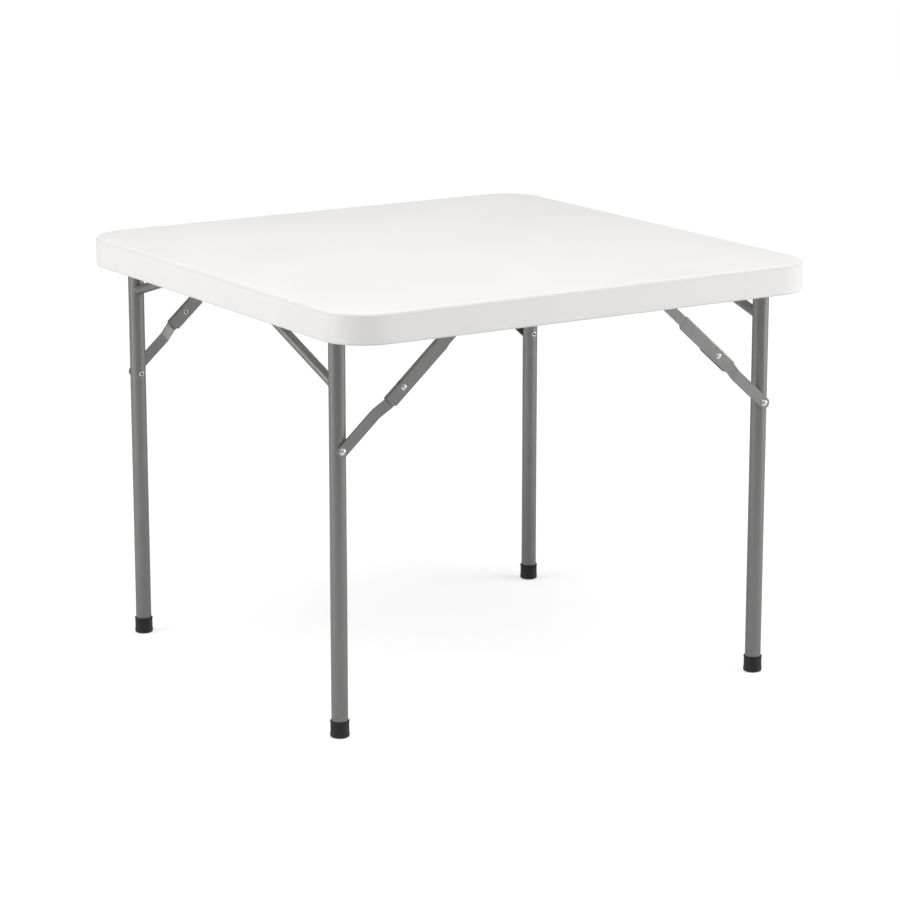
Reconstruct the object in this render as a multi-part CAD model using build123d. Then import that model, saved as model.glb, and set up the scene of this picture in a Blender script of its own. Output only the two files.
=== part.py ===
from build123d import *
import math
import os

# Square folding table. Millimetres, +Z up, origin on the floor under the middle of the top.
# The left leg frame stands at -X and folds towards +X. The right frame is the same frame
# turned half a turn about the middle, so the two lie side by side when they are folded.

# Top
table_width = 940.0
table_height = 737.0
rim_depth = 51.0
rim_width = 24.0
panel_depth = 20.0
skin = 2.8
corner_radius = 80.0
upper_edge_radius = 6.0
lower_edge_radius = 3.0
dimple_pitch = 110.0
dimple_mouth_radius = 9.0
dimple_floor_radius = 5.0
dimples_per_side = 7
boss_radius = 7.0

# Leg frames
leg_diameter = 28.0
leg_wall = 1.2
leg_inset = 70.0
side_inset = 76.0
leg_stagger = 75.0
hinge_drop = 18.0
tube_top_reach = 5.0
cross_tube_diameter = 17.0
cross_tube_wall = 1.2
cross_tube_crown_drop = 17.0
cross_tube_high_end_drop = 62.0
cross_tube_low_end_drop = 109.0
cross_tube_high_end_run = 154.0
cross_tube_low_end_run = 244.0
cross_tube_bend_radius = 250.0
weld_width = 3.0

# Foot caps
cap_wall = 1.8
cap_height = 28.5
cap_floor = 5.0
cap_bead = 0.5
cap_bead_height = 5.5
cap_lip_height = 2.0
cap_lower_radius = 3.5
cap_upper_radius = 0.8

# Hinge brackets and their rivets
plate = 2.0
hinge_ear_gap = 0.5
hinge_ear_radius = 12.0
hinge_plate_length = 44.0
hinge_flange_width = 15.0
hinge_rivet_radius = 4.0
hinge_head_radius = 7.0
hinge_head_height = 2.5

# Braces: a strap below the knee and a pressed sheet arm above it
brace_foot_drop = 212.0
brace_head_reach = 241.0
strap_width = 20.0
strap_thickness = 3.0
strap_crank = 8.5
strap_crank_length = 24.0
strap_to_leg_gap = 0.4
strap_edge_gap = 0.5
arm_sheet = 2.0
arm_bend_radius = 2.5
arm_head_width = 18.0
arm_overlap = 36.0
arm_corner_cut = 6.0
arm_back_reach = 36.0
arm_crank_reach = 98.0
arm_crank_length = 8.0
arm_crank = 3.0
arm_flange_depth = 6.0
arm_notch_length = 7.0
arm_mark_radius = 1.2
arm_mark_depth = 0.6
arm_mark_inset = 5.0
arm_mark_pitch = 4.0
ear_thickness = 2.5
ear_radius = 11.0
brace_plate_length = 40.0
brace_plate_width = 17.0

# Brace rivets
foot_rivet_radius = 3.0
foot_head_radius = 6.2
foot_head_height = 3.0
knee_rivet_radius = 3.0
knee_head_radius = 5.5
knee_head_height = 2.6
pivot_rivet_radius = 3.5
pivot_head_radius = 6.0
pivot_head_height = 2.7
head_dimple_radius = 2.2
head_dimple_depth = 1.1
tail_ring_thickness = 2.4
tail_lip = 0.8
tail_hole_depth = 2.5

# Screws
screw_radius = 2.0
screw_hole_radius = 2.25
screw_length = 12.0
screw_head_radius = 4.0
screw_head_height = 2.4
screw_slot_width = 1.0
screw_slot_depth = 1.2

# Clearances
face_gap = 0.3
running_clearance = 0.05
cut_overrun = 10.0

# Heights and places that follow from the sizes above
rim_height = table_height - rim_depth
underside_height = table_height - panel_depth
hinge_height = underside_height - hinge_drop
leg_radius = leg_diameter / 2
cap_radius = leg_radius + cap_wall
hinge_x = leg_inset - table_width / 2
outer_leg_y = table_width / 2 - side_inset
inner_leg_y = leg_stagger - outer_leg_y
dimple_depth = panel_depth - 2 * skin

# Layers of a brace, counted outwards from the middle of its leg. The knee end of the strap
# runs between the web and the back plate of the arm.
strap_inner = leg_radius + strap_to_leg_gap
strap_outer = strap_inner + strap_thickness
knee_inner = strap_inner + strap_crank
knee_outer = knee_inner + strap_thickness
back_outer = knee_inner - face_gap
back_inner = back_outer - arm_sheet
web_inner = knee_outer + face_gap
web_outer = web_inner + arm_sheet
flange_inner = web_outer - arm_flange_depth
head_web_inner = web_inner + arm_crank
head_web_outer = head_web_inner + arm_sheet
ear_outer = head_web_inner - face_gap
ear_inner = ear_outer - ear_thickness
pivot_head_seat = head_web_outer + face_gap

# Half the height of the arm: its upper edge is folded over the edge of the strap
arm_half = strap_width / 2 + strap_edge_gap + arm_sheet

# The brace is straight when the table stands, and its arms lie along the leg when it is folded
brace_span = math.hypot(brace_head_reach, brace_foot_drop)
folded_span = brace_head_reach - brace_foot_drop
lower_arm_length = (brace_span - folded_span) / 2
upper_arm_length = (brace_span + folded_span) / 2
brace_tilt = math.degrees(math.atan2(brace_foot_drop, brace_head_reach))


def along_y(radius, start, end):
    """A round bar along Y."""
    return Pos(0, (start + end) / 2, 0) * Rot(90, 0, 0) * Cylinder(radius, end - start)


def dome(radius, height, start):
    """A low domed rivet head that rises along +Y."""
    ball_radius = (radius * radius + height * height) / (2 * height)
    ball = Pos(0, start + height - ball_radius, 0) * Sphere(ball_radius)
    return ball & along_y(radius, start, start + height)


def rivet_head(shank_radius, start, seat, head_radius, head_height):
    """The headed end of a rivet, with its head outside the seat and a dimple in the dome."""
    crown = seat + head_height
    depth = head_dimple_depth
    ball_radius = (head_dimple_radius * head_dimple_radius + depth * depth) / (2 * depth)
    dimple = Pos(0, crown - depth + ball_radius, 0) * Sphere(ball_radius)
    return along_y(shank_radius, start, seat) + dome(head_radius, head_height, seat) - dimple


def rivet_tail(shank_radius, seat, end):
    """The hollow end of a rivet, rolled into a ring inside the seat."""
    ring = Torus(shank_radius + tail_ring_thickness / 4, tail_ring_thickness / 2)
    ring = Pos(0, seat, 0) * Rot(90, 0, 0) * ring
    ring &= along_y(shank_radius + tail_ring_thickness, seat - tail_ring_thickness, seat)
    hole = along_y(shank_radius - tail_lip, seat - tail_ring_thickness, seat + tail_hole_depth)
    return along_y(shank_radius, seat, end) + ring - hole


def square_plate(width, radius, bottom, top):
    return Pos(0, 0, bottom) * extrude(RectangleRounded(width, width, radius), top - bottom)


def half_turn(shape):
    return Rot(0, 0, 180) * shape


def on_leg(shape, leg_y):
    """Moves a piece made beside the hinge of a leg to that leg of the left frame."""
    side = shape if leg_y > 0 else mirror(shape, about=Plane.XZ)
    return Pos(hinge_x, leg_y, hinge_height) * side


def hinge_screw_places():
    """Screws of a hinge bracket, from its hinge."""
    across = leg_radius + hinge_ear_gap + plate + hinge_flange_width / 2
    along = hinge_plate_length / 4
    return [(x, y) for x in (-along, along) for y in (-across, across)]


def brace_screw_places():
    """Screws of a brace bracket, from the hinge of its leg."""
    across = ear_outer + brace_plate_width / 2
    along = brace_plate_length / 4
    return [(brace_head_reach + x, across) for x in (-along, along)]


def screw_places():
    """All screws, as places on the underside of the top."""
    places = []
    for leg_y in (outer_leg_y, inner_leg_y):
        outward = math.copysign(1, leg_y)
        for x, y in hinge_screw_places() + brace_screw_places():
            places.append((hinge_x + x, leg_y + outward * y))
    return places + [(-x, -y) for x, y in places]


def dimple_places():
    middle = (dimples_per_side - 1) / 2
    steps = [(index - middle) * dimple_pitch for index in range(dimples_per_side)]
    return [(x, y) for x in steps for y in steps]


def tabletop_shell():
    body = square_plate(table_width, corner_radius, rim_height, table_height)
    body = fillet(body.faces().sort_by(Axis.Z)[-1].edges(), upper_edge_radius)
    body = fillet(body.faces().sort_by(Axis.Z)[0].edges(), lower_edge_radius)
    recess_width = table_width - 2 * rim_width
    recess_radius = corner_radius - rim_width
    body -= square_plate(recess_width, recess_radius, rim_height - cut_overrun, underside_height)
    hollow = square_plate(
        table_width - 2 * skin, corner_radius - skin, rim_height + skin, table_height - skin
    )
    hollow -= square_plate(
        recess_width + 2 * skin, recess_radius + skin, rim_height, underside_height + skin
    )
    posts = []
    dimples = []
    for x, y in dimple_places():
        post = Cone(dimple_mouth_radius + skin, dimple_floor_radius + skin, panel_depth)
        dimple = Cone(dimple_mouth_radius, dimple_floor_radius, dimple_depth)
        posts.append(Pos(x, y, underside_height + panel_depth / 2) * post)
        dimples.append(Pos(x, y, underside_height + dimple_depth / 2) * dimple)
    holes = []
    hole_depth = screw_length - plate
    for x, y in screw_places():
        boss = Cylinder(boss_radius, panel_depth)
        posts.append(Pos(x, y, underside_height + panel_depth / 2) * boss)
        hole = Cylinder(screw_radius, hole_depth)
        holes.append(Pos(x, y, underside_height + hole_depth / 2) * hole)
    hollow -= posts
    body -= hollow
    body -= dimples
    body -= holes
    return body


def hinge_bracket():
    """Made with its hinge at the origin."""
    ear_start = leg_radius + hinge_ear_gap
    ear_end = ear_start + plate
    base_width = 2 * (ear_end + hinge_flange_width)
    base_height = hinge_drop - plate / 2
    bracket = Pos(0, 0, base_height) * Box(hinge_plate_length, base_width, plate)
    ear_height = hinge_drop - plate
    for start, end in ((ear_start, ear_end), (-ear_end, -ear_start)):
        upper = Pos(0, (start + end) / 2, ear_height / 2)
        bracket += upper * Box(2 * hinge_ear_radius, plate, ear_height)
        bracket += along_y(hinge_ear_radius, start, end)
    bracket -= along_y(hinge_rivet_radius + running_clearance, -base_width, base_width)
    for x, y in hinge_screw_places():
        bracket -= Pos(x, y, base_height) * Cylinder(screw_hole_radius, 2 * plate)
    return bracket


def hinge_rivet():
    seat = leg_radius + hinge_ear_gap + plate + face_gap
    head = dome(hinge_head_radius, hinge_head_height, seat)
    return along_y(hinge_rivet_radius, -seat, seat) + head + mirror(head, about=Plane.XZ)


def brace_bracket():
    """Made with the hinge of its leg at the origin."""
    middle = (ear_inner + ear_outer) / 2
    ear_height = hinge_drop - plate
    ear = Pos(0, middle, ear_height / 2) * Box(2 * ear_radius, ear_thickness, ear_height)
    ear += along_y(ear_radius, ear_inner, ear_outer)
    ear -= along_y(pivot_rivet_radius, ear_inner - cut_overrun, ear_outer + cut_overrun)
    foot_width = brace_plate_width + ear_thickness
    foot_height = hinge_drop - plate / 2
    foot = Pos(0, ear_inner + foot_width / 2, foot_height) * Box(brace_plate_length, foot_width, plate)
    bracket = Pos(brace_head_reach, 0, 0) * (ear + foot)
    for x, y in brace_screw_places():
        bracket -= Pos(x, y, foot_height) * Cylinder(screw_hole_radius, 2 * plate)
    return bracket


def brace_pivot_rivet():
    tail = rivet_tail(pivot_rivet_radius, ear_inner, ear_outer)
    head = rivet_head(
        pivot_rivet_radius, ear_outer, pivot_head_seat, pivot_head_radius, pivot_head_height
    )
    return Pos(brace_head_reach, 0, 0) * (tail + head)


def screw():
    """Made with the underside of the top at Z = 0."""
    shank = Pos(0, 0, screw_length / 2 - plate) * Cylinder(screw_radius, screw_length)
    head = Pos(0, 0, -plate - screw_head_height / 2) * Cylinder(screw_head_radius, screw_head_height)
    head = fillet(head.faces().sort_by(Axis.Z)[0].edges(), screw_head_height / 2)
    piece = shank + head
    slot_height = -plate - screw_head_height + screw_slot_depth / 2
    for turn in (0, 90):
        slot = Rot(0, 0, turn) * Box(screw_head_radius, screw_slot_width, screw_slot_depth)
        piece -= Pos(0, 0, slot_height) * slot
    return piece


def leg_tube():
    """Made with its hinge at the origin, with the leg hanging down."""
    length = hinge_height - cap_floor + tube_top_reach
    middle = Pos(0, 0, tube_top_reach - length / 2)
    tube = middle * (Cylinder(leg_radius, length) - Cylinder(leg_radius - leg_wall, length))
    tube -= along_y(hinge_rivet_radius, -leg_diameter, leg_diameter)
    tube -= Pos(0, 0, -brace_foot_drop) * along_y(foot_rivet_radius, -leg_diameter, leg_diameter)
    return tube


def foot_cap():
    """A cup with a bead round its foot and a lip, made with the hinge of its leg at the origin."""
    widest = cap_radius + cap_bead
    border = [
        (0, 0),
        (widest, 0),
        (widest, cap_bead_height),
        (cap_radius, 2 * cap_bead_height),
        (cap_radius, cap_height - 2 * cap_lip_height),
        (widest, cap_height - cap_lip_height),
        (widest, cap_height),
        (0, cap_height),
    ]
    cap = revolve(Plane.XZ * make_face(Polyline(border, close=True)), Axis.Z)
    cap = fillet(cap.faces().sort_by(Axis.Z)[0].edges(), cap_lower_radius)
    cap = fillet(cap.faces().sort_by(Axis.Z)[-1].edges(), cap_upper_radius)
    cap -= Pos(0, 0, cap_floor + cap_height / 2) * Cylinder(leg_radius, cap_height)
    return Pos(0, 0, -hinge_height) * cap


def cross_tube():
    """The arched tube of the left frame, welded to the inner face of each leg."""
    low = Vector(hinge_x, inner_leg_y, hinge_height - cross_tube_low_end_drop)
    high = Vector(hinge_x, outer_leg_y, hinge_height - cross_tube_high_end_drop)
    crown_height = hinge_height - cross_tube_crown_drop
    first_bend = Vector(hinge_x, inner_leg_y + cross_tube_low_end_run, crown_height)
    last_bend = Vector(hinge_x, outer_leg_y - cross_tube_high_end_run, crown_height)
    path = FilletPolyline(low, first_bend, last_bend, high, radius=cross_tube_bend_radius)
    start = Plane(origin=path @ 0, z_dir=path % 0)
    radius = cross_tube_diameter / 2
    tube = sweep(start * Circle(radius), path=path)
    tube -= sweep(start * Circle(radius - cross_tube_wall), path=path)
    weld_reach = leg_radius + weld_width
    for end, bend in ((low, first_bend), (high, last_bend)):
        weld = Cone(radius + weld_width, radius, weld_reach, align=(Align.CENTER, Align.CENTER, Align.MIN))
        weld -= Cylinder(radius - cross_tube_wall, 2 * weld_reach)
        tube += Plane(origin=end, z_dir=bend - end) * weld
    for leg_y in (inner_leg_y, outer_leg_y):
        tube -= Pos(hinge_x, leg_y, hinge_height / 2) * Cylinder(leg_radius, hinge_height)
    return tube


def leg_rivet():
    """The part of the brace rivet that is fixed in the leg, with the hinge of the leg at the origin."""
    return Pos(0, 0, -brace_foot_drop) * rivet_tail(foot_rivet_radius, -leg_radius, leg_radius)


def along_brace(distance):
    """The place on the standing brace that lies this far from the rivet on the leg."""
    across = distance * brace_head_reach / brace_span
    rise = distance * brace_foot_drop / brace_span
    return Pos(across, 0, rise - brace_foot_drop) * Rot(0, -brace_tilt, 0)


def strap_rivet():
    """The headed part of the brace rivet, fixed in the strap."""
    return along_brace(0) * rivet_head(
        foot_rivet_radius, strap_inner, strap_outer, foot_head_radius, foot_head_height
    )


def lower_arm():
    """A flat strap, cranked outwards just before it enters the arm."""
    end = strap_width / 2
    crank_end = lower_arm_length - arm_overlap - arm_sheet
    crank_start = crank_end - strap_crank_length
    tip = lower_arm_length + end
    side = [
        (-end, strap_inner),
        (crank_start, strap_inner),
        (crank_end, knee_inner),
        (tip, knee_inner),
        (tip, knee_outer),
        (crank_end, knee_outer),
        (crank_start, strap_outer),
        (-end, strap_outer),
    ]
    strap = extrude(make_face(Polyline(side, close=True)), end, both=True)
    outline = Pos(lower_arm_length / 2, knee_outer / 2, 0) * Box(lower_arm_length, knee_outer, strap_width)
    for place in (0, lower_arm_length):
        outline += Pos(place, 0, 0) * along_y(end, 0, knee_outer)
    strap &= outline
    strap -= along_y(foot_rivet_radius, 0, knee_outer)
    strap -= Pos(lower_arm_length, 0, 0) * along_y(knee_rivet_radius + running_clearance, 0, knee_outer)
    return along_brace(0) * strap


def section(inner, outer, lower, upper):
    """A rectangle in the cross section of the arm: outwards to the right, upwards up."""
    return Pos((inner + outer) / 2, (lower + upper) / 2) * Rectangle(outer - inner, upper - lower)


def sheet_length(profile, start, end):
    """A length of the arm with this cross section."""
    return Pos(start, 0, 0) * extrude(Plane.YZ * profile, end - start)


def folded_end(start, end):
    """The sheet is folded over the strap and comes down again behind it."""
    outside = section(back_inner, web_outer, -arm_half, arm_half)
    outside = fillet(outside.vertices().group_by(Axis.Y)[-1], arm_bend_radius)
    slot = section(back_outer, web_inner, -arm_half, arm_half - arm_sheet)
    slot = fillet(slot.vertices().group_by(Axis.Y)[-1], arm_bend_radius - arm_sheet)
    return sheet_length(outside - slot, start, end)


def flanged_length(start, end):
    """Sheet with its upper edge turned inwards."""
    outside = section(flange_inner, web_outer, -arm_half, arm_half)
    bend = outside.vertices().group_by(Axis.X)[-1].sort_by(Axis.Y)[-1]
    outside = fillet(bend, arm_bend_radius)
    hollow = section(flange_inner, web_inner, -arm_half, arm_half - arm_sheet)
    return sheet_length(outside - hollow, start, end)


def arm_head():
    """The flat end of the arm, cranked outwards."""
    crank_end = arm_crank_reach + arm_crank_length
    tip = upper_arm_length + arm_head_width / 2
    side = [
        (arm_crank_reach, web_inner),
        (crank_end, head_web_inner),
        (tip, head_web_inner),
        (tip, head_web_outer),
        (crank_end, head_web_outer),
        (arm_crank_reach, web_outer),
    ]
    return extrude(make_face(Polyline(side, close=True)), arm_half, both=True)


def arm_outline():
    """The arm seen from its side, as a thick block that trims it."""
    head_half = arm_head_width / 2
    border = [
        (-arm_overlap, arm_half),
        (arm_crank_reach, arm_half),
        (arm_crank_reach + arm_crank_length, head_half),
        (upper_arm_length, head_half),
        (upper_arm_length, -head_half),
        (arm_crank_reach + arm_crank_length, -head_half),
        (arm_crank_reach, -arm_half),
        (arm_corner_cut - arm_overlap, -arm_half),
        (-arm_overlap, arm_corner_cut - arm_half),
    ]
    outline = extrude(Plane.XZ * make_face(Polyline(border, close=True)), head_web_outer, both=True)
    return outline + Pos(upper_arm_length, 0, 0) * along_y(head_half, -head_web_outer, head_web_outer)


def upper_arm():
    """A sheet arm made around the knee, folded round the strap there and flat at its head."""
    arm = folded_end(-arm_overlap, arm_back_reach)
    arm += flanged_length(arm_back_reach, arm_crank_reach)
    arm += arm_head()
    arm &= arm_outline()
    notch_depth = web_inner - back_outer
    notch = Box(arm_notch_length, notch_depth, 2 * arm_sheet)
    arm -= Pos(0, web_inner - notch_depth / 2, arm_half) * notch
    mark = along_y(arm_mark_radius, web_outer - arm_mark_depth, web_outer + arm_mark_depth)
    for height in (0, arm_mark_pitch):
        arm -= Pos(arm_mark_inset - arm_overlap, 0, height) * mark
    arm -= along_y(knee_rivet_radius, 0, head_web_outer)
    pivot_hole = along_y(pivot_rivet_radius + running_clearance, 0, 2 * head_web_outer)
    arm -= Pos(upper_arm_length, 0, 0) * pivot_hole
    return along_brace(lower_arm_length) * arm


def knee_rivet():
    tail = rivet_tail(knee_rivet_radius, back_inner, knee_outer)
    head = rivet_head(knee_rivet_radius, knee_outer, web_outer, knee_head_radius, knee_head_height)
    return along_brace(lower_arm_length) * (tail + head)


def frame_pieces(side, outer, inner):
    """The pieces of the left frame, by name, for a frame and legs with the given names."""
    legs = ((outer, outer_leg_y), (inner, inner_leg_y))
    pieces = {}
    for leg, leg_y in legs:
        pieces[leg + "_hinge_bracket"] = on_leg(hinge_bracket(), leg_y)
        pieces[leg + "_brace_bracket"] = on_leg(brace_bracket(), leg_y)
        pieces[leg + "_leg_tube"] = on_leg(leg_tube(), leg_y)
        pieces[leg + "_foot_cap"] = on_leg(foot_cap(), leg_y)
        pieces[leg + "_lower_arm"] = on_leg(lower_arm(), leg_y)
        pieces[leg + "_strap_rivet"] = on_leg(strap_rivet(), leg_y)
        pieces[leg + "_upper_arm"] = on_leg(upper_arm(), leg_y)
        pieces[leg + "_knee_rivet"] = on_leg(knee_rivet(), leg_y)
    pieces[side + "_cross_tube"] = cross_tube()
    pieces[side + "_hinge_rivets"] = [on_leg(hinge_rivet(), leg_y) for leg, leg_y in legs]
    pieces[side + "_leg_rivets"] = [on_leg(leg_rivet(), leg_y) for leg, leg_y in legs]
    return pieces


def whole_table():
    pieces = frame_pieces("left", "left_rear", "left_front")
    for name, shape in frame_pieces("right", "right_front", "right_rear").items():
        pieces[name] = [half_turn(one) for one in shape] if isinstance(shape, list) else half_turn(shape)
    pivots = [on_leg(brace_pivot_rivet(), leg_y) for leg_y in (outer_leg_y, inner_leg_y)]
    pieces["brace_pivot_rivets"] = pivots + [half_turn(one) for one in pivots]
    screws = [Pos(x, y, underside_height) * screw() for x, y in screw_places()]
    pieces["bracket_screws"] = screws
    pieces["tabletop_shell"] = tabletop_shell()
    return pieces


os.makedirs("parts", exist_ok=True)
for name, shape in whole_table().items():
    solid = Compound(children=shape) if isinstance(shape, list) else shape
    export_step(solid, f"parts/{name}.step")
    print(name, round(solid.volume / 1000, 2), "cm3")
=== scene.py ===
# %% [markdown]
# # A folding card table
# This notebook dresses a folding table that was first built as solid parts: a white
# blow-moulded top, two grey tube leg frames that fold under it, four pressed-steel braces and
# black caps on the feet. The shapes are there already, so most of the work below is light,
# paint and plastic. We load the parts first.

import math

import bmesh
import bpy
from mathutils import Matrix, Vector

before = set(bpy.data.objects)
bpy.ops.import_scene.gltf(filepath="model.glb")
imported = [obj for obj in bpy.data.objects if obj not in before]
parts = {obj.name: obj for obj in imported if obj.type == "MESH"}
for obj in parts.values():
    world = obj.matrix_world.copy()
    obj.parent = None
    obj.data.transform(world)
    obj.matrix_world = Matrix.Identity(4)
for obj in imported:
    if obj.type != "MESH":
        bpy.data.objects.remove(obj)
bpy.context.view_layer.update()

# %% [markdown]
# ## The camera
# A product picture like this is taken with a long lens from a few steps away, so the legs stay
# nearly upright. A camera needs a place and a direction. The direction is easiest as two
# angles: one around the room and one down towards the floor. Blender's cameras look along
# their own -Z, so `to_track_quat` turns that axis on to our direction. The Standard view keeps
# colours as they are written, where the default one would dull the whites.

# %% Place the camera
sensor_width = 0.036
focal_length_in_pixels = 3157.4
picture_width_in_pixels = 900
turn = 1.0073
dip = 0.2344

camera_data = bpy.data.cameras.new("camera")
camera_data.sensor_width = sensor_width * 1000
camera_data.lens = sensor_width * 1000 * focal_length_in_pixels / picture_width_in_pixels
camera_data.clip_end = 100
camera = bpy.data.objects.new("camera", camera_data)
bpy.context.scene.collection.objects.link(camera)
camera.location = (-2.9022, -4.6203, 1.6745)
sight = Vector((math.cos(turn) * math.cos(dip), math.sin(turn) * math.cos(dip), -math.sin(dip)))
camera.rotation_euler = sight.to_track_quat("-Z", "Y").to_euler()
bpy.context.scene.camera = camera
bpy.context.scene.view_settings.view_transform = "Standard"
print("lens", round(camera_data.lens, 1), "mm")

# %% [markdown]
# ## Numbers that become nodes
# A material in Blender is a graph of nodes. Wiring every sum by hand is hard to read, so this
# small class stands for one output of the graph and knows Python's operators. `1 - mask` or
# `grain * 0.2` then adds the Math node for us. Colours and directions don't go through it,
# because a Math node would turn a colour grey.

# %% Wrap a socket
class Reading:
    """One output of a finish's graph, to do sums with."""

    def __init__(self, finish, socket):
        self.finish = finish
        self.socket = socket

    def combine(self, operation, first, second):
        return self.finish.node("ShaderNodeMath", {"operation": operation}, {0: first, 1: second})

    def __add__(self, other):
        return self.combine("ADD", self, other)

    def __radd__(self, other):
        return self.combine("ADD", other, self)

    def __sub__(self, other):
        return self.combine("SUBTRACT", self, other)

    def __rsub__(self, other):
        return self.combine("SUBTRACT", other, self)

    def __mul__(self, other):
        return self.combine("MULTIPLY", self, other)

    def __rmul__(self, other):
        return self.combine("MULTIPLY", other, self)


# %% [markdown]
# ## A finish
# Every surface of the table gets one finish: a material with a Principled shader whose fixed
# values are set on its own sockets. The `node` method adds any other node. It sets the node's
# options first and then its inputs, because some nodes change their sockets when an option
# changes. The helpers under it are the few patterns that paint, plastic and metal share.

# %% Describe a finish
class Finish:
    """A material of the table, built up node by node."""

    def __init__(self, name, **fixed):
        self.material = bpy.data.materials.new(name)
        self.material.use_nodes = True
        self.tree = self.material.node_tree
        self.shader = self.tree.nodes["Principled BSDF"]
        for socket, value in fixed.items():
            self.shader.inputs[socket.replace("_", " ")].default_value = value

    def node(self, kind, settings=None, inputs=None, output=0):
        made = self.tree.nodes.new(kind)
        for option, value in (settings or {}).items():
            setattr(made, option, value)
        for socket, value in (inputs or {}).items():
            self.connect(made.inputs[socket], value)
        return Reading(self, made.outputs[output])

    def connect(self, socket, value):
        if isinstance(value, Reading):
            self.tree.links.new(value.socket, socket)
        else:
            socket.default_value = value

    def shade(self, socket, value):
        self.connect(self.shader.inputs[socket], value)

    def place(self):
        return self.node("ShaderNodeTexCoord", output="Object")

    def noise(self, size, detail=2.0, rough=0.5):
        """Soft mottling whose blotches are about this many metres wide."""
        inputs = {"Vector": self.place(), "Scale": 1 / size, "Detail": detail, "Roughness": rough}
        return self.node("ShaderNodeTexNoise", inputs=inputs)

    def ramp(self, value, low, high, start=0.0, end=1.0):
        """Turns start..end into low..high and holds the ends."""
        inputs = {"Value": value, "From Min": start, "From Max": end, "To Min": low, "To Max": high}
        return self.node("ShaderNodeMapRange", {"clamp": True}, inputs)

    def blend(self, mask, first, second):
        """A colour between two colours."""
        settings = {"data_type": "RGBA"}
        return self.node("ShaderNodeMix", settings, {"Factor": mask, 6: first, 7: second}, output=2)

    def bump(self, height, depth, strength=1.0):
        inputs = {"Height": height, "Distance": depth, "Strength": strength}
        self.shade("Normal", self.node("ShaderNodeBump", inputs=inputs))


def grey(level, warmth=0.0):
    """A linear colour that is grey or a little warm."""
    return (level * (1 + warmth), level, level * (1 - warmth), 1.0)


# %% [markdown]
# ## White moulded plastic
# The top is blown from polyethylene, which is white, a little soft to the light and never
# quite even. The mould leaves a fine pebble on the flat faces. A Voronoi pattern gives the
# pebbles, and slow noise moves the roughness about, so the light on the top isn't a mirror
# of the lamps. The rim faces sideways and comes smoother out of the mould, so the upward part
# of the normal is the mask that fades the pebbles out there. The rounded edges catch light
# from above and from the side at once and would burn out, so their colour is a touch greyer.
# The product `flatness * (1 - flatness)` is zero on flat and on upright faces and largest
# between them, so it finds those edges.

# %% Mix the white plastic
white_plastic = Finish("white_plastic", Specular_IOR_Level=0.2)
facing = white_plastic.node("ShaderNodeNewGeometry", output="Normal")
upward = white_plastic.node("ShaderNodeSeparateXYZ", inputs={0: facing}, output=2)
flatness = white_plastic.node("ShaderNodeMath", {"operation": "ABSOLUTE"}, {0: upward})
pebble_size = 0.0016
cloud_size = 0.16
sink_size = 0.05
texture_depth = 0.0003
pebble_inputs = {"Vector": white_plastic.place(), "Scale": 1 / pebble_size, "Randomness": 1.0}
pebbles = white_plastic.node("ShaderNodeTexVoronoi", {"feature": "SMOOTH_F1"}, pebble_inputs)
clouds = white_plastic.noise(cloud_size, detail=3.0)
resin = white_plastic.blend(clouds, grey(0.825, 0.011), grey(0.855, 0.007))
rounding = 4 * flatness * (1 - flatness)
white_plastic.shade("Base Color", white_plastic.blend(rounding, resin, grey(0.735, 0.01)))
sheen = white_plastic.ramp(clouds, 0.48, 0.6, 0.3, 0.7)
white_plastic.shade("Roughness", sheen + 0.06 * pebbles)
sinks = white_plastic.noise(sink_size, detail=1.0)
relief = pebbles * (0.25 + 0.75 * flatness) * 0.3 + sinks
white_plastic.bump(relief, texture_depth, strength=0.35)
print("white plastic has", len(white_plastic.tree.nodes), "nodes")

# %% [markdown]
# ## Grey powder coat
# The tubes and braces are sprayed with powder that melts into a tough grey skin. It pulls
# into a very fine orange peel, which a small noise bump shows, and its gloss changes slowly
# along the tube. There is metal flake in the powder, so Metallic is well above zero: the
# tubes take most of their light and dark stripes from the room around them.

# %% Mix the grey paint
grey_paint = Finish("grey_paint", Metallic=0.7)
patch_size = 0.07
flake_size = 0.0012
peel_size = 0.0024
peel_depth = 0.00012
patches = grey_paint.noise(patch_size, detail=4.0, rough=0.6)
specks = grey_paint.noise(flake_size, detail=1.0)
tint = grey_paint.blend(patches, grey(0.22, 0.015), grey(0.236, 0.01))
flakes = grey_paint.ramp(specks, 0.0, 0.5, 0.55, 0.75)
grey_paint.shade("Base Color", grey_paint.blend(flakes, tint, grey(0.27, 0.01)))
grey_paint.shade("Roughness", grey_paint.ramp(patches, 0.31, 0.4, 0.35, 0.65))
peel = grey_paint.noise(peel_size, detail=1.0)
grey_paint.bump(peel, peel_depth, strength=0.3)
print("grey paint has", len(grey_paint.tree.nodes), "nodes")

# %% [markdown]
# ## Black foot caps
# The caps are soft black plastic. They are almost black with a dull sheen, and they pick up
# pale scuffs low down, where they slide on floors. Height above the floor is the mask for
# the scuffs, and noise breaks them up.

# %% Mix the black plastic
black_plastic = Finish("black_plastic", Specular_IOR_Level=0.4)
scratch_size = 0.004
scratch_depth = 0.0001
scuff_start = 0.001
scuff_end = 0.012
height = black_plastic.node("ShaderNodeSeparateXYZ", inputs={0: black_plastic.place()}, output=2)
scratches = black_plastic.noise(scratch_size, detail=4.0, rough=0.7)
near_floor = black_plastic.ramp(height, 1.0, 0.0, scuff_start, scuff_end)
scuffs = near_floor * black_plastic.ramp(scratches, 0.0, 1.0, 0.5, 0.7)
black_plastic.shade("Base Color", black_plastic.blend(scuffs, grey(0.011), grey(0.05, 0.02)))
black_plastic.shade("Roughness", black_plastic.ramp(scratches, 0.42, 0.6, 0.3, 0.7))
black_plastic.bump(scratches, scratch_depth, strength=0.4)
print("black plastic has", len(black_plastic.tree.nodes), "nodes")
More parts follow.
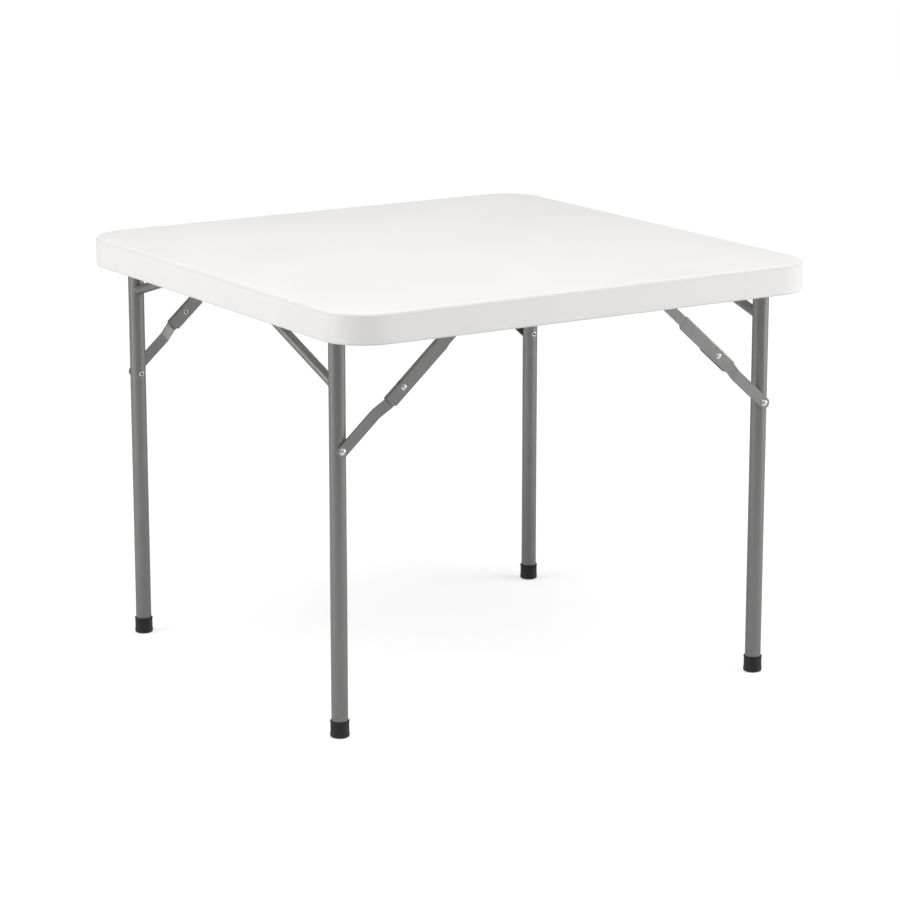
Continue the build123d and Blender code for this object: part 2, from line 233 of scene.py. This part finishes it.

# %% [markdown]
# ## Bright zinc
# Rivets and screws are plated with zinc: a real metal, so Metallic is 1 and the base colour
# is the colour of its reflections. Tiny scratches in the roughness stop it looking like
# chrome. The Ambient Occlusion node finds the hollow ends of the rivets and the slots of the
# screws and paints shade into them by darkening their colour.

# %% Mix the zinc
bright_zinc = Finish("bright_zinc", Metallic=1.0)
wear_size = 0.0015
wear_depth = 0.00005
hollow_shade_reach = 0.003
wear = bright_zinc.noise(wear_size, detail=3.0)
plating = bright_zinc.blend(wear, grey(0.6, 0.01), grey(0.78, -0.01))
reach = {"Distance": hollow_shade_reach}
# Painted shade: where the Ambient Occlusion finds hollows and tight corners, the zinc's colour is
# darkened.
openness = bright_zinc.node("ShaderNodeAmbientOcclusion", inputs=reach, output="AO")
painted_hollow_shade = bright_zinc.ramp(openness, 1.0, 0.0, 0.4, 0.9)
bright_zinc.shade("Base Color", bright_zinc.blend(painted_hollow_shade, plating, grey(0.07, 0.02)))
bright_zinc.shade("Roughness", bright_zinc.ramp(wear, 0.16, 0.34, 0.3, 0.7))
bright_zinc.bump(wear, wear_depth, strength=0.3)
print("zinc has", len(bright_zinc.tree.nodes), "nodes")

# %% [markdown]
# ## Bracket steel
# The brackets under the top are pressed from galvanised sheet, duller than the rivets. Their
# zinc froze in crystals, so a Voronoi pattern gives each small cell its own grey.

# %% Mix the bracket steel
bracket_steel = Finish("bracket_steel", Metallic=0.9)
crystal_size = 0.006
dent_size = 0.003
dent_depth = 0.00008
crystal_inputs = {"Vector": bracket_steel.place(), "Scale": 1 / crystal_size, "Randomness": 1.0}
crystals = bracket_steel.node("ShaderNodeTexVoronoi", inputs=crystal_inputs, output="Color")
cell = bracket_steel.node("ShaderNodeSeparateColor", inputs={0: crystals})
bracket_steel.shade("Base Color", bracket_steel.blend(cell, grey(0.42, -0.01), grey(0.56, -0.01)))
bracket_steel.shade("Roughness", bracket_steel.ramp(cell, 0.34, 0.5))
bracket_steel.bump(bracket_steel.noise(dent_size), dent_depth, strength=0.3)
print("bracket steel has", len(bracket_steel.tree.nodes), "nodes")

# %% [markdown]
# ## Dress the parts
# Each part came in with an empty material named after its finish. We put ours into the same
# slot, which keeps the part's shape and place untouched.

# %% Put the finishes on
finishes = {
    "white_plastic": white_plastic,
    "grey_paint": grey_paint,
    "black_plastic": black_plastic,
    "bright_zinc": bright_zinc,
    "bracket_steel": bracket_steel,
}
for part in parts.values():
    for slot in part.material_slots:
        plain_name = slot.material.name.split(".")[0]
        slot.material = finishes[plain_name].material
print("dressed", len(parts), "parts")

# %% [markdown]
# ## Floor and room
# The table stands on one large pale floor. The camera sees a little extra glow on it, so it
# reads as paper white, yet it still shows the table's soft shadow. Its underside is clear, so
# we can also look up at the underside of the table. The room behind is white to the camera.
# What lights the table is a duller sky plus the lamps.

# %% Lay the floor
floor_radius = 30.0
floor_gap = 0.0005
glow_start = 1.2
glow_end = 5.0

floor_mesh = bpy.data.meshes.new("floor")
shape = bmesh.new()
bmesh.ops.create_circle(shape, cap_ends=True, segments=96, radius=floor_radius)
shape.to_mesh(floor_mesh)
shape.free()
floor = bpy.data.objects.new("floor", floor_mesh)
bpy.context.scene.collection.objects.link(floor)
floor.location.z = -floor_gap

floor_paint = Finish("floor_paint", Roughness=0.9, Specular_IOR_Level=0.1, Emission_Strength=1.0)
floor_paint.shade("Base Color", grey(0.82))
middle_out = {0: floor_paint.place()}
from_table = floor_paint.node("ShaderNodeVectorMath", {"operation": "LENGTH"}, middle_out, output=1)
glow = floor_paint.ramp(from_table, 0.46, 0.75, glow_start, glow_end)
looked_at = floor_paint.node("ShaderNodeLightPath", output="Is Camera Ray")
floor_paint.shade("Emission Color", floor_paint.blend(looked_at * glow, grey(0.0), grey(1.0)))
from_below = floor_paint.node("ShaderNodeNewGeometry", output="Backfacing")
floor_paint.shade("Alpha", 1 - from_below)
floor.data.materials.append(floor_paint.material)

# %% Light the room
sky_level = 0.32
backdrop_level = 1.0

world = bpy.data.worlds.new("room")
bpy.context.scene.world = world
world.use_nodes = True
sky = world.node_tree.nodes["Background"]
sky.inputs["Color"].default_value = (1.0, 1.0, 1.0, 1.0)
path = world.node_tree.nodes.new("ShaderNodeLightPath")
level = world.node_tree.nodes.new("ShaderNodeMapRange")
level.inputs["To Min"].default_value = sky_level
level.inputs["To Max"].default_value = backdrop_level
world.node_tree.links.new(path.outputs["Is Camera Ray"], level.inputs["Value"])
world.node_tree.links.new(level.outputs[0], sky.inputs["Strength"])


def lamp(name, place, aim, width, height, watts):
    """A soft box that faces a point on the table."""
    data = bpy.data.lights.new(name, "AREA")
    data.shape = "RECTANGLE"
    data.size = width
    data.size_y = height
    data.energy = watts
    box = bpy.data.objects.new(name, data)
    bpy.context.scene.collection.objects.link(box)
    box.location = place
    box.rotation_euler = (Vector(aim) - Vector(place)).to_track_quat("-Z", "Y").to_euler()


lamp("overhead", (-0.4, -0.6, 3.1), (0.0, 0.0, 0.7), width=3.2, height=3.2, watts=66)
lamp("left_box", (-3.4, 0.9, 1.2), (-0.9, 0.2, 0.0), width=3.8, height=2.0, watts=54)
lamp("right_box", (3.2, -2.2, 1.2), (0.9, -0.6, 0.0), width=3.4, height=2.0, watts=73)
print("lamps", [lamp_object.name for lamp_object in bpy.data.lights])
